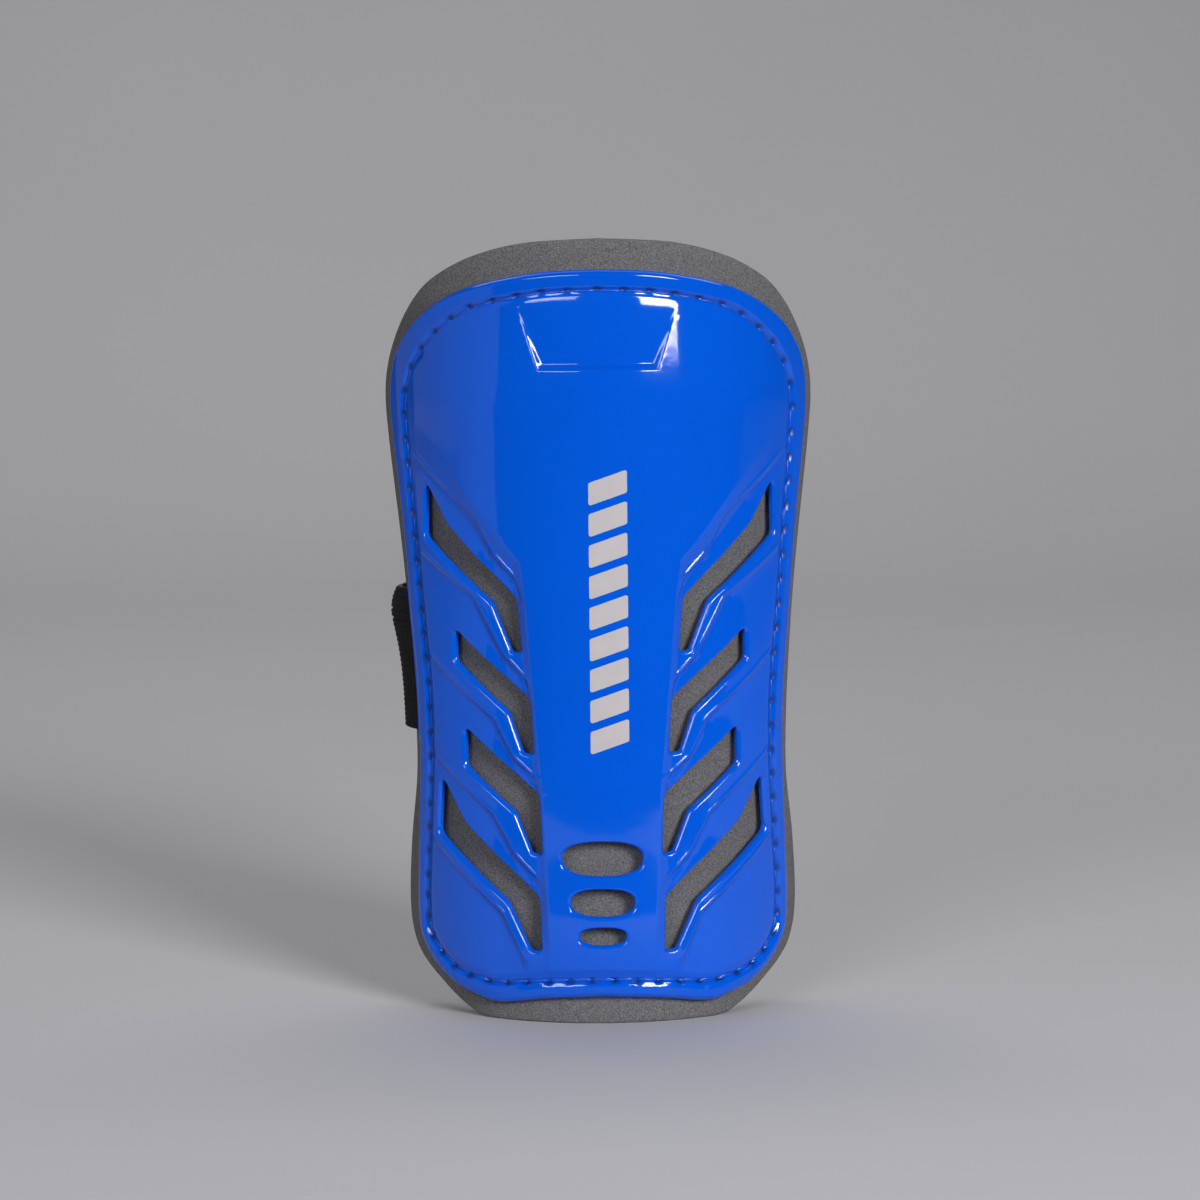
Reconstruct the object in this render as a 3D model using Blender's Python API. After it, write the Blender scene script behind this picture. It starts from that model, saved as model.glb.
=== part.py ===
# A football shin guard: a moulded shell sewn to a foam pad, with an elastic strap that goes round the
# back of the leg to a hook-and-loop tab. Metres, +Z up. The guard stands on the pad's flat bottom edge
# with its front toward -Y, and the origin is at the bottom centre of its bounding box.
#
# Shell and pad are drawn flat, by the arc across the front of the pad and the height, and are then
# rolled onto the shin's taper. A place on them is (arc, up, rise), with the rise over the pad's front.

import math
from collections import namedtuple

import bpy
from mathutils import Vector
from mathutils.geometry import delaunay_2d_cdt

mm = 0.001

# The pad: its outline's height and half width, its thickness, and the radii it is rolled to
pad_height = 190 * mm
pad_half_arc = 68.5 * mm
pad_thickness = 7 * mm
top_radius = 58 * mm
bottom_radius = 50 * mm
side_angle = math.radians(61)
bottom_flare = 2 * mm
flare_height = 46 * mm

# The shell: the pad's margins round it, and the rise of each part of its face over the pad
side_margin = 9.9 * mm
top_margin = 7.3 * mm
bottom_margin = 4.8 * mm
piece_gap = 0.3 * mm
edge_rise = 1.7 * mm
flange_rise = 3.4 * mm
groove_rise = 1.9 * mm
panel_edge_rise = 3.5 * mm
panel_rise = 5.0 * mm
shingle_low_rise = 2.7 * mm
shingle_high_rise = 4.4 * mm
sunken_rise = 4.2 * mm
edge_round = 1.1 * mm
groove_half_width = 1.1 * mm
dome_width = 16 * mm
shingle_step = 1.6 * mm
column_step = 2.0 * mm
column_foot_drop = 0.6 * mm
emboss_step = 1.4 * mm

# The sewn groove's distance from the shell's edge
groove_inset_top = 5.2 * mm
groove_inset_side = 4.8 * mm
groove_inset_bottom = 5.0 * mm
inset_blend = 24 * mm

# The vents' rounded corners, large at the knees and small at the tips
knee_round = 4.0 * mm
tip_round = 0.9 * mm

# The strap: its width and thickness, where it comes out, and how far its loop goes
strap_width = 35 * mm
strap_thickness = 1.6 * mm
strap_bottom = 69.5 * mm
strap_tuck = 2.2 * mm
pocket_wall = 0.25 * mm
pocket_roof = 0.9 * mm
strap_on_pad = 5.0 * mm
strap_bulge = 28 * mm
loop_depth = 40 * mm
strap_lap = 30 * mm
lap_margin = 4 * mm
return_bulge = 24 * mm
back_reach = 30 * mm

# The tab, which lies inside the strap's width and lap
tab_thickness = 1.5 * mm
tab_border = 2.5 * mm

# How finely the surfaces are faceted
outline_spacing = 4.2 * mm
line_spacing = 4.2 * mm
vent_spacing = 2.6 * mm
fill_across = 6.5 * mm
fill_up = 9 * mm
fill_clearance = 2.4 * mm
line_clearance = 1.0 * mm
pad_fill_across = 7.8 * mm
pad_fill_up = 12 * mm
pad_fill_clearance = 4.8 * mm
tab_fill = 4 * mm
tab_fill_clearance = 1.3 * mm
spline_steps = 12
strap_rows = 5
loop_steps = 18
corner_steps = 5
pocket_steps = 8
tuck_steps = 4
lap_steps = 6
oval_steps = 24

pocket_rise = piece_gap + strap_thickness + piece_gap
shell_half_arc = pad_half_arc - side_margin
shell_height = pad_height - top_margin - bottom_margin
mean_radius = (top_radius + bottom_radius) / 2

Mark = namedtuple("Mark", "across up")
Corner = namedtuple("Corner", "across up size")
Oval = namedtuple("Oval", "up half_width half_height")

# The outlines run from the top centre to the bottom centre, as shares of each piece's own half arc
# and height.
pad_outline = [
    Mark(0.000, 1.000), Mark(0.260, 0.995), Mark(0.464, 0.979), Mark(0.623, 0.956),
    Mark(0.728, 0.933), Mark(0.844, 0.894), Mark(0.958, 0.841), Mark(1.000, 0.795),
    Mark(0.975, 0.736), Mark(0.905, 0.633), Mark(0.854, 0.537), Mark(0.822, 0.432),
    Mark(0.812, 0.358), Mark(0.823, 0.295), Mark(0.888, 0.211), Mark(0.926, 0.128),
    Mark(0.863, 0.078), Mark(0.664, 0.036), Mark(0.556, 0.015), Mark(0.482, 0.003),
]
pad_foot_share = 0.423
shell_outline = [
    Mark(0.000, 1.000), Mark(0.241, 0.996), Mark(0.512, 0.979), Mark(0.688, 0.957),
    Mark(0.826, 0.929), Mark(0.913, 0.901), Mark(0.968, 0.873), Mark(1.000, 0.823),
    Mark(0.981, 0.762), Mark(0.925, 0.653), Mark(0.886, 0.543), Mark(0.848, 0.432),
    Mark(0.840, 0.344), Mark(0.857, 0.243), Mark(0.879, 0.150), Mark(0.875, 0.093),
    Mark(0.840, 0.067), Mark(0.768, 0.042), Mark(0.657, 0.019), Mark(0.548, 0.007),
    Mark(0.437, 0.000), Mark(0.222, 0.009), Mark(0.000, 0.013),
]

# The right side's lines, as shares of the shell: the middle panel's edge from its shoulder down the
# column, each shingle's lower edge from the groove to the column, and half of the sunken trapezoid.
column_edge = [
    Mark(0.807, 0.799), Mark(0.625, 0.738), Mark(0.464, 0.676), Mark(0.299, 0.608),
    Mark(0.270, 0.500), Mark(0.246, 0.392), Mark(0.227, 0.310), Mark(0.217, 0.236),
    Mark(0.206, 0.144), Mark(0.196, 0.059),
]
shingle_edges = [
    [Mark(0.922, 0.776), Mark(0.500, 0.668), Mark(0.423, 0.617), Mark(0.290, 0.574)],
    [Mark(0.922, 0.646), Mark(0.510, 0.558), Mark(0.381, 0.480), Mark(0.265, 0.442)],
    [Mark(0.922, 0.522), Mark(0.413, 0.387), Mark(0.343, 0.341), Mark(0.239, 0.311)],
    [Mark(0.922, 0.391), Mark(0.435, 0.261), Mark(0.334, 0.205), Mark(0.222, 0.168)],
    [Mark(0.922, 0.268), Mark(0.396, 0.128), Mark(0.304, 0.064), Mark(0.239, 0.029)],
]
emboss_edge = [Mark(0.333, 0.990), Mark(0.302, 0.940), Mark(0.227, 0.866)]

# Each vent's corners from its outer tip down and round, with each corner's size as a share of the
# knee's round
vents = [
    [Corner(0.764, 0.716, 0.2), Corner(0.764, 0.636, 0.6), Corner(0.437, 0.552, 1.0),
     Corner(0.319, 0.472, 0.2), Corner(0.314, 0.558, 1.0), Corner(0.637, 0.653, 1.2)],
    [Corner(0.612, 0.513, 0.2), Corner(0.611, 0.468, 0.5), Corner(0.369, 0.402, 1.0),
     Corner(0.276, 0.341, 0.2), Corner(0.271, 0.420, 1.0)],
    [Corner(0.571, 0.379, 0.2), Corner(0.568, 0.325, 0.5), Corner(0.346, 0.265, 1.0),
     Corner(0.246, 0.199, 0.2), Corner(0.241, 0.289, 1.0)],
    [Corner(0.699, 0.310, 0.3), Corner(0.716, 0.227, 0.8), Corner(0.382, 0.142, 1.0),
     Corner(0.261, 0.061, 0.2), Corner(0.242, 0.150, 1.0), Corner(0.573, 0.245, 1.2)],
]
# The flat ovals down the column, as shares of the shell's height and half arc
ovals = [Oval(0.203, 0.154, 0.0239), Oval(0.143, 0.121, 0.0191), Oval(0.097, 0.089, 0.0124)]
oval_squareness = 2.5


def clear_scene():
    for item in list(bpy.data.objects):
        bpy.data.objects.remove(item, do_unlink=True)


def smooth_step(value):
    value = min(max(value, 0.0), 1.0)
    return value * value * (3 - 2 * value)


def pad_radius(up):
    return bottom_radius + (top_radius - bottom_radius) * up / pad_height


def roll(arc, up, rise):
    """The place in space of a point of the flat drawing, lifted off the pad's front by its rise."""
    radius = pad_radius(up)
    angle = arc / radius
    lean = (radius - mean_radius) * (1 - math.cos(side_angle))
    flare = bottom_flare * smooth_step(1 - up / flare_height) * math.cos(angle)
    return Vector((
        (radius + rise) * math.sin(angle),
        radius - (radius + rise) * math.cos(angle) - lean - flare,
        up,
    ))


def spline(points):
    """A smooth curve through the points, each as (arc, up)."""
    ends = [points[0]] + points + [points[-1]]
    curve = []
    for before, start, end, after in zip(ends, ends[1:], ends[2:], ends[3:]):
        for step in range(spline_steps):
            t = step / spline_steps
            weights = (
                -0.5 * t + t * t - 0.5 * t ** 3,
                1 - 2.5 * t * t + 1.5 * t ** 3,
                0.5 * t + 2 * t * t - 1.5 * t ** 3,
                -0.5 * t * t + 0.5 * t ** 3,
            )
            row = (before, start, end, after)
            curve.append(tuple(sum(w * p[axis] for w, p in zip(weights, row)) for axis in (0, 1)))
    return curve + [points[-1]]


def spread(line, spacing, closed=False):
    """Points at even steps along a line."""
    points = line + [line[0]] if closed else line
    lengths = [math.dist(a, b) for a, b in zip(points, points[1:])]
    total = sum(lengths)
    count = max(2, round(total / spacing))
    result = []
    piece = 0
    passed = 0.0
    for index in range(count if closed else count + 1):
        target = total * index / count
        while piece < len(lengths) - 1 and passed + lengths[piece] < target:
            passed += lengths[piece]
            piece += 1
        share = min(1.0, (target - passed) / lengths[piece]) if lengths[piece] else 0.0
        a, b = points[piece], points[piece + 1]
        result.append((a[0] + (b[0] - a[0]) * share, a[1] + (b[1] - a[1]) * share))
    return result


def whole_outline(half):
    """Both sides of an outline whose right half runs from the top centre down."""
    return half + [(-arc, up) for arc, up in reversed(half[1:]) if arc > 0]


def on_shell(mark):
    return (mark.across * shell_half_arc, bottom_margin + mark.up * shell_height)


def on_pad(mark):
    return (mark.across * pad_half_arc, mark.up * pad_height)


def mirrored(line):
    return [(-arc, up) for arc, up in line]


def inside(point, loop):
    x, y = point
    hit = False
    for (ax, ay), (bx, by) in zip(loop, loop[1:] + loop[:1]):
        if (ay > y) != (by > y) and x < ax + (bx - ax) * (y - ay) / (by - ay):
            hit = not hit
    return hit


def distance_to(point, line):
    best = 1.0
    px, py = point
    for (ax, ay), (bx, by) in zip(line, line[1:]):
        dx, dy = bx - ax, by - ay
        length = dx * dx + dy * dy
        t = 0.0 if length == 0 else min(1.0, max(0.0, ((px - ax) * dx + (py - ay) * dy) / length))
        best = min(best, math.hypot(px - ax - dx * t, py - ay - dy * t))
    return best


def height_on(line, arc):
    """How high a line that runs inward stands over an arc of the flat drawing."""
    for (ax, ay), (bx, by) in zip(line, line[1:]):
        if arc >= bx or (bx, by) == line[-1]:
            return ay + (by - ay) * (arc - ax) / (bx - ax)
    return line[-1][1]


def groove_inset(up):
    from_top = (pad_height - top_margin - up) / inset_blend
    from_bottom = (up - bottom_margin) / inset_blend
    top_share = 1 - smooth_step(from_top)
    bottom_share = 1 - smooth_step(from_bottom)
    return (groove_inset_side
            + (groove_inset_top - groove_inset_side) * top_share
            + (groove_inset_bottom - groove_inset_side) * bottom_share)


def shrink(loop, offset):
    """A closed outline moved inward by a distance that may change with the height."""
    count = len(loop)
    result = []
    for index, (arc, up) in enumerate(loop):
        ax, ay = loop[index - 1]
        bx, by = loop[(index + 1) % count]
        length = math.hypot(bx - ax, by - ay)
        move = offset(up)
        result.append((arc + (by - ay) / length * move, up - (bx - ax) / length * move))
    return result


def rounded(corners):
    """A closed outline with its corners turned by arcs of their own sizes."""
    result = []
    count = len(corners)
    for index, (x, y, size) in enumerate(corners):
        bx, by, _ = corners[index - 1]
        ax, ay, _ = corners[(index + 1) % count]
        back = Vector((bx - x, by - y))
        ahead = Vector((ax - x, ay - y))
        half_turn = back.angle(ahead) / 2
        reach = min(size / math.tan(half_turn), 0.45 * back.length, 0.45 * ahead.length)
        start = Vector((x, y)) + back.normalized() * reach
        end = Vector((x, y)) + ahead.normalized() * reach
        for step in range(corner_steps):
            t = step / (corner_steps - 1)
            point = start * (1 - t) ** 2 + Vector((x, y)) * (2 * t * (1 - t)) + end * t * t
            result.append((point.x, point.y))
    return result


def vent_outline(corners):
    rounds = [max(tip_round, corner.size * knee_round) for corner in corners]
    places = [on_shell(corner) for corner in corners]
    return rounded([(arc, up, size) for (arc, up), size in zip(places, rounds)])


def oval_outline(oval):
    centre = bottom_margin + oval.up * shell_height
    half_width = oval.half_width * shell_half_arc
    half_height = oval.half_height * shell_height
    loop = []
    for step in range(oval_steps):
        angle = 2 * math.pi * step / oval_steps
        c, s = math.cos(angle), math.sin(angle)
        loop.append((
            half_width * math.copysign(abs(c) ** (2 / oval_squareness), c),
            centre + half_height * math.copysign(abs(s) ** (2 / oval_squareness), s),
        ))
    return loop


shell_edge = whole_outline(spline([on_shell(mark) for mark in shell_outline]))
column_line = [on_shell(mark) for mark in column_edge]
shingle_lines = [[on_shell(mark) for mark in edge] for edge in shingle_edges]
emboss_line = [on_shell(mark) for mark in emboss_edge]
emboss_loop = emboss_line + mirrored(emboss_line)[::-1]
middle_panel = (
    [(2 * shell_half_arc, column_line[0][1] + shell_half_arc)] + column_line
    + [(column_line[-1][0], -pad_height)]
)


def side_rise(arc, up):
    """The shingles beside the column: each rises toward its lower edge and steps down there."""
    edges = [height_on(line, arc) for line in shingle_lines]
    if up >= edges[0]:
        return shingle_high_rise
    for upper, lower in zip(edges, edges[1:]):
        if up >= lower:
            below = upper - up
            slope = smooth_step((below - shingle_step) / max(upper - lower - shingle_step, piece_gap))
            rise = shingle_low_rise + (shingle_high_rise - shingle_low_rise) * slope
            drop = 1 - min(below / shingle_step, 1.0)
            return rise + (shingle_high_rise - rise) * drop
    drop = 1 - min((edges[-1] - up) / shingle_step, 1.0)
    return shingle_low_rise + (shingle_high_rise - shingle_low_rise) * drop


def column_share(arc, up):
    """1 on the middle panel, 0 beside it, and in between on the step down from it."""
    reach = distance_to((arc, up), middle_panel)
    on_panel = arc < height_on_column(up)
    return 1.0 if on_panel else 1 - min(reach / column_step, 1.0)


def height_on_column(up):
    """The middle panel's half width at a height."""
    for (ax, ay), (bx, by) in zip(middle_panel, middle_panel[1:]):
        if up >= by:
            return ax + (bx - ax) * (up - ay) / (by - ay)
    return middle_panel[-1][0]


def shell_rise(arc, up):
    """The rise of the shell's face at a point of the flat drawing."""
    arc = abs(arc)
    point = (arc, up)
    inset = groove_inset(up)
    from_edge = distance_to(point, shell_edge + shell_edge[:1]) if inside(point, shell_edge) else 0.0
    past_groove = from_edge - inset
    if past_groove <= 0:
        near_edge = min(from_edge / edge_round, 1.0)
        lip = edge_rise + (flange_rise - edge_rise) * near_edge
        near_groove = min(-past_groove / groove_half_width, 1.0)
        return groove_rise + (lip - groove_rise) * near_groove
    dome = 1 - min(past_groove / dome_width, 1.0)
    panel = panel_rise - (panel_rise - panel_edge_rise) * dome * dome
    if inside(point, emboss_loop):
        to_emboss_edge = distance_to(point, emboss_loop)
        panel += (sunken_rise - panel) * min(to_emboss_edge / emboss_step, 1.0)
    share = column_share(arc, up)
    rise = panel
    if share < 1:
        side = min(side_rise(arc, up), panel)
        rise = side + (panel - side) * share
    near_groove = min(past_groove / groove_half_width, 1.0)
    return groove_rise + (rise - groove_rise) * near_groove


def triangles_of(loops, lines, fill, holes):
    """The flat drawing cut into triangles along its loops and lines, without its holes."""
    points = []
    edges = []
    for loop in loops + holes:
        first = len(points)
        points += loop
        edges += [(first + i, first + (i + 1) % len(loop)) for i in range(len(loop))]
    for line in lines:
        first = len(points)
        points += line
        edges += [(first + i, first + i + 1) for i in range(len(line) - 1)]
    points += fill
    flat = [Vector((arc / mm, up / mm)) for arc, up in points]
    result = delaunay_2d_cdt(flat, edges, [], 1, 1e-4)
    verts = [(v.x * mm, v.y * mm) for v in result[0]]
    kept = []
    for face in result[2]:
        centre = tuple(sum(verts[i][axis] for i in face) / len(face) for axis in (0, 1))
        if inside(centre, loops[0]) and not any(inside(centre, hole) for hole in holes):
            kept.append(tuple(face))
    used = sorted({index for face in kept for index in face})
    place = {old: new for new, old in enumerate(used)}
    return [verts[i] for i in used], [tuple(place[i] for i in face) for face in kept]


def make_object(name, verts, faces, colour, roughness):
    mesh = bpy.data.meshes.new(name)
    mesh.from_pydata(verts, [], faces)
    mesh.shade_smooth()
    mesh.set_sharp_from_angle(angle=math.radians(35))
    material = bpy.data.materials.new(name)
    material.use_nodes = True
    surface = material.node_tree.nodes["Principled BSDF"]
    surface.inputs["Base Color"].default_value = (*colour, 1.0)
    surface.inputs["Roughness"].default_value = roughness
    surface.inputs["Metallic"].default_value = 0.0
    mesh.materials.append(material)
    item = bpy.data.objects.new(name, mesh)
    bpy.context.scene.collection.objects.link(item)
    return item


def sheet_solid(flat_verts, flat_faces, front_rise, back_rise):
    """A closed solid between two rises over the same flat drawing."""
    count = len(flat_verts)
    verts = [roll(arc, up, front_rise(arc, up)) for arc, up in flat_verts]
    verts += [roll(arc, up, back_rise(arc, up)) for arc, up in flat_verts]
    faces = flat_faces + [tuple(i + count for i in reversed(face)) for face in flat_faces]
    sides = {(face[i], face[(i + 1) % len(face)]) for face in flat_faces for i in range(len(face))}
    for start, end in sorted(sides):
        if (end, start) not in sides:
            faces.append((end, start, start + count, end + count))
    return verts, faces


def fill_points(loop, keep_clear, across, up_step, clearance):
    """Evenly spread points inside a loop, kept off the lines that the drawing already has."""
    points = []
    rows = int(pad_height / up_step) + 1
    columns = int(pad_half_arc / across) + 1
    for row in range(rows):
        up = (row + 0.5) * up_step
        for column in range(-columns, columns + 1):
            arc = (column + 0.5 * (row % 2)) * across
            point = (arc, up)
            if inside(point, loop) and all(distance_to(point, line) > clearance for line in keep_clear):
                points.append(point)
    return points


def make_pad():
    foot = pad_foot_share * pad_half_arc
    curve = spread(spline([on_pad(mark) for mark in pad_outline]), outline_spacing)
    half_foot = spread([(foot, 0.0), (0.0, 0.0)], outline_spacing)
    loop = whole_outline(curve + half_foot)
    fill = fill_points(loop, [loop + loop[:1]], pad_fill_across, pad_fill_up, pad_fill_clearance)
    flat, faces = triangles_of([loop], [], fill, [])
    verts, faces = sheet_solid(flat, faces, lambda arc, up: 0.0, lambda arc, up: -pad_thickness)
    return make_object("foam_pad", verts, faces, (0.125, 0.12, 0.125), 0.95)


def half_arc_at(up):
    """The shell's half width at a height, from its outline."""
    widest = 0.0
    for (ax, ay), (bx, by) in zip(shell_edge, shell_edge[1:]):
        if ax > 0 and (ay - up) * (by - up) <= 0 and ay != by:
            widest = max(widest, ax + (bx - ax) * (up - ay) / (by - ay))
    return widest


def pocket_loop(grown):
    """The outline, in the flat drawing, of the room that the flange leaves for the strap's end."""
    low = strap_bottom - piece_gap - grown
    high = strap_bottom + strap_width + piece_gap + grown
    heights = [low + (high - low) * row / pocket_steps for row in range(pocket_steps + 1)]
    inner = [(strap_tuck + piece_gap + grown - half_arc_at(up), up) for up in heights]
    outer = [(-half_arc_at(up) - edge_round, up) for up in reversed(heights)]
    return inner + outer


pocket_edge = pocket_loop(pocket_wall / 2)


def in_pocket(arc, up):
    return arc < 0 and inside((arc, up), pocket_edge)


def shell_face(arc, up):
    rise = shell_rise(arc, up)
    return max(rise, pocket_rise + pocket_roof) if in_pocket(arc, up) else rise


def shell_back(arc, up):
    return pocket_rise if in_pocket(arc, up) else piece_gap


def vent_loops():
    loops = []
    for corners in vents:
        right = spread(vent_outline(corners), vent_spacing, closed=True)
        loops += [right, mirrored(right)]
    return loops + [spread(oval_outline(oval), vent_spacing, closed=True) for oval in ovals]


def relief_lines(panel_loop, holes):
    """The crest and the foot of each step of the relief, broken off round the vents."""
    foot = [(arc + column_step, up - column_foot_drop) for arc, up in column_line]
    drawn = [column_line, foot]
    for line in shingle_lines:
        drawn += [line, [(arc, up - shingle_step) for arc, up in line]]
    lines = []
    for line in drawn:
        kept = []
        for point in spread(line, line_spacing):
            in_hole = any(inside(point, hole) for hole in holes)
            near_hole = any(distance_to(point, hole) < line_clearance for hole in holes)
            if inside(point, panel_loop) and not in_hole and not near_hole:
                kept.append(point)
        lines += [kept, mirrored(kept)]
    narrowing = 1 - emboss_step / emboss_line[1][0]
    crest = [(arc * narrowing, up + emboss_step) for arc, up in emboss_line]
    for line in (emboss_loop, crest + mirrored(crest)[::-1]):
        lines.append([point for point in spread(line, line_spacing) if inside(point, panel_loop)])
    return [line for line in lines if len(line) > 1]


def make_shell():
    edge = spread(shell_edge, outline_spacing, closed=True)
    rings = [
        shrink(edge, lambda up: edge_round),
        shrink(edge, lambda up: groove_inset(up) - groove_half_width),
        shrink(edge, groove_inset),
        shrink(edge, lambda up: groove_inset(up) + groove_half_width),
    ]
    holes = vent_loops()
    lines = [pocket_loop(0.0), pocket_loop(pocket_wall)] + relief_lines(rings[-1], holes)
    keep_clear = [loop + loop[:1] for loop in [edge] + rings + holes] + lines
    fill = fill_points(edge, keep_clear, fill_across, fill_up, fill_clearance)
    flat, faces = triangles_of([edge] + rings, lines, fill, holes)
    verts, faces = sheet_solid(flat, faces, shell_face, shell_back)
    return make_object("shell", verts, faces, (0.002, 0.093, 0.68), 0.12)


def bezier(points, t):
    a, b, c, d = points
    u = 1 - t
    return a * u ** 3 + b * (3 * u * u * t) + c * (3 * u * t * t) + d * t ** 3


def strap_path(up):
    """The strap's middle at a height: out from under the flange, round the back, onto the tab."""
    middle_rise = piece_gap + strap_thickness / 2
    lap_rise = -pad_thickness - piece_gap - tab_thickness - piece_gap - strap_thickness / 2
    edge = half_arc_at(up)
    start = strap_tuck - edge
    length = strap_tuck + strap_on_pad
    path = [roll(start - length * step / tuck_steps, up, middle_rise) for step in range(tuck_steps + 1)]
    leave = path[-1]
    leave_angle = (start - length) / pad_radius(up)
    leave_way = Vector((-math.cos(leave_angle), -math.sin(leave_angle), 0))
    enter = roll(edge, up, lap_rise)
    enter_angle = edge / pad_radius(up)
    enter_way = Vector((math.cos(enter_angle), math.sin(enter_angle), 0))
    back = Vector((0, roll(edge, up, 0).y + loop_depth, up))
    back_way = Vector((back_reach, 0, 0))
    left = (leave, leave + leave_way * strap_bulge, back - back_way, back)
    right = (back, back + back_way, enter + enter_way * return_bulge, enter)
    path += [bezier(left, step / loop_steps) for step in range(1, loop_steps + 1)]
    path += [bezier(right, step / loop_steps) for step in range(1, loop_steps + 1)]
    path += [roll(edge - strap_lap * step / lap_steps, up, lap_rise) for step in range(1, lap_steps + 1)]
    return path


def make_strap():
    rows = []
    for row in range(strap_rows):
        up = strap_bottom + strap_width * row / (strap_rows - 1)
        path = strap_path(up)
        inner, outer = [], []
        for index, point in enumerate(path):
            before = path[max(index - 1, 0)]
            after = path[min(index + 1, len(path) - 1)]
            way = (after - before).normalized()
            side = Vector((way.y, -way.x, 0)) * (strap_thickness / 2)
            outer.append(point - side)
            inner.append(point + side)
        rows.append(outer + inner[::-1])
    around = len(rows[0])
    verts = [point for row in rows for point in row]
    faces = []
    for row in range(strap_rows - 1):
        for index in range(around):
            ahead = (index + 1) % around
            low, high = row * around, (row + 1) * around
            faces.append((low + index, high + index, high + ahead, low + ahead))
    half = around // 2
    top = (strap_rows - 1) * around
    for index in range(half - 1):
        other = around - 1 - index
        faces.append((index, index + 1, other - 1, other))
        faces.append((top + other, top + other - 1, top + index + 1, top + index))
    return make_object("elastic_strap", verts, faces, (0.011, 0.0095, 0.011), 0.85)


def make_tab():
    """A plain patch on the pad's inner face, inside the strap's width and lap."""
    low = strap_bottom + tab_border
    high = strap_bottom + strap_width - tab_border
    heights = [low + (high - low) * row / (strap_rows - 1) for row in range(strap_rows)]
    inner = [(half_arc_at(up) - strap_lap + lap_margin, up) for up in heights]
    outer = [(half_arc_at(up) - tab_border, up) for up in reversed(heights)]
    loop = spread(inner + outer, tab_fill, closed=True)
    fill = fill_points(loop, [loop + loop[:1]], tab_fill, tab_fill, tab_fill_clearance)
    flat, faces = triangles_of([loop], [], fill, [])
    front = -pad_thickness - piece_gap
    verts, faces = sheet_solid(flat, faces, lambda arc, up: front, lambda arc, up: front - tab_thickness)
    return make_object("fastening_tab", verts, faces, (0.02, 0.02, 0.021), 0.9)


def centre_on_depth(items):
    """Move everything along Y so that the origin is under the middle of the whole depth."""
    depths = [vert.co.y for item in items for vert in item.data.vertices]
    middle = (min(depths) + max(depths)) / 2
    for item in items:
        for vert in item.data.vertices:
            vert.co.y -= middle


def main():
    clear_scene()
    centre_on_depth([make_pad(), make_shell(), make_strap(), make_tab()])


main()
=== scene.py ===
import math

import bpy
import numpy as np
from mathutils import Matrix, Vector
from mathutils.geometry import delaunay_2d_cdt
from mathutils.kdtree import KDTree


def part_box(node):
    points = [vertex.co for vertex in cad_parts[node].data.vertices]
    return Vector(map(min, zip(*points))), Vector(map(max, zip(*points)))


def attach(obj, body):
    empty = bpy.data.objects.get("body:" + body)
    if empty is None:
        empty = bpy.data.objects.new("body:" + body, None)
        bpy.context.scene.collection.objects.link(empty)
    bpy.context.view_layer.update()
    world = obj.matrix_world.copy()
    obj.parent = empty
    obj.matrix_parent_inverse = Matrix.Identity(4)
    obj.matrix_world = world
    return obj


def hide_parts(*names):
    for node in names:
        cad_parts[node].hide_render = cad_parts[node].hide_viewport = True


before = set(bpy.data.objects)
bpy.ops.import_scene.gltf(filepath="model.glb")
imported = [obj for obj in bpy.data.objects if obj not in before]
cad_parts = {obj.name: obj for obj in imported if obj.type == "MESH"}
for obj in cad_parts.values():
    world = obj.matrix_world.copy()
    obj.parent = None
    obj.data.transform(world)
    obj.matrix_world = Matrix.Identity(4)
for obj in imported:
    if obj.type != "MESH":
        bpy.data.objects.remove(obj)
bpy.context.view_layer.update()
mm = 0.001
scene = bpy.context.scene

# Shell and pad are drawn flat in millimetres, by the arc across the pad's front and the height, and
# rolled onto the shin's taper. The rise is the distance out from the pad's front face.
guardForm = {
    "height": 190.0, "padHalfArc": 68.5, "padThickness": 7.0,
    "topRadius": 58.0, "bottomRadius": 50.0, "sideAngle": 61.0,
    "flare": 2.0, "flareHeight": 46.0,
    "sideMargin": 9.9, "topMargin": 7.3, "bottomMargin": 4.8, "gap": 0.3,
}
shellHalfArc = guardForm["padHalfArc"] - guardForm["sideMargin"]
shellHeight = guardForm["height"] - guardForm["topMargin"] - guardForm["bottomMargin"]
meanRadius = (guardForm["topRadius"] + guardForm["bottomRadius"]) / 2
sideDrop = 1 - math.cos(math.radians(guardForm["sideAngle"]))
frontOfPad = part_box("foam_pad")[0].y + (guardForm["topRadius"] - meanRadius) * sideDrop * mm


def smoothStep(value):
    value = np.clip(value, 0.0, 1.0)
    return value * value * (3 - 2 * value)


def over(value, start, span):
    # 0 up to the start, 1 after the span, and smooth between them; a negative span runs downward
    return smoothStep((value - start) / span)


def between(pair, share):
    return pair[0] + (pair[1] - pair[0]) * share


def padRadius(up):
    taper = guardForm["topRadius"] - guardForm["bottomRadius"]
    return guardForm["bottomRadius"] + taper * up / guardForm["height"]


def roll(flat, rise):
    arc, up = flat[:, 0], flat[:, 1]
    radius = padRadius(up)
    angle = arc / radius
    lean = (radius - meanRadius) * sideDrop
    flare = guardForm["flare"] * smoothStep(1 - up / guardForm["flareHeight"]) * np.cos(angle)
    x = (radius + rise) * np.sin(angle)
    y = radius - (radius + rise) * np.cos(angle) - lean - flare
    return np.column_stack([x * mm, y * mm + frontOfPad, up * mm])


# Drawing in the flat

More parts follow.
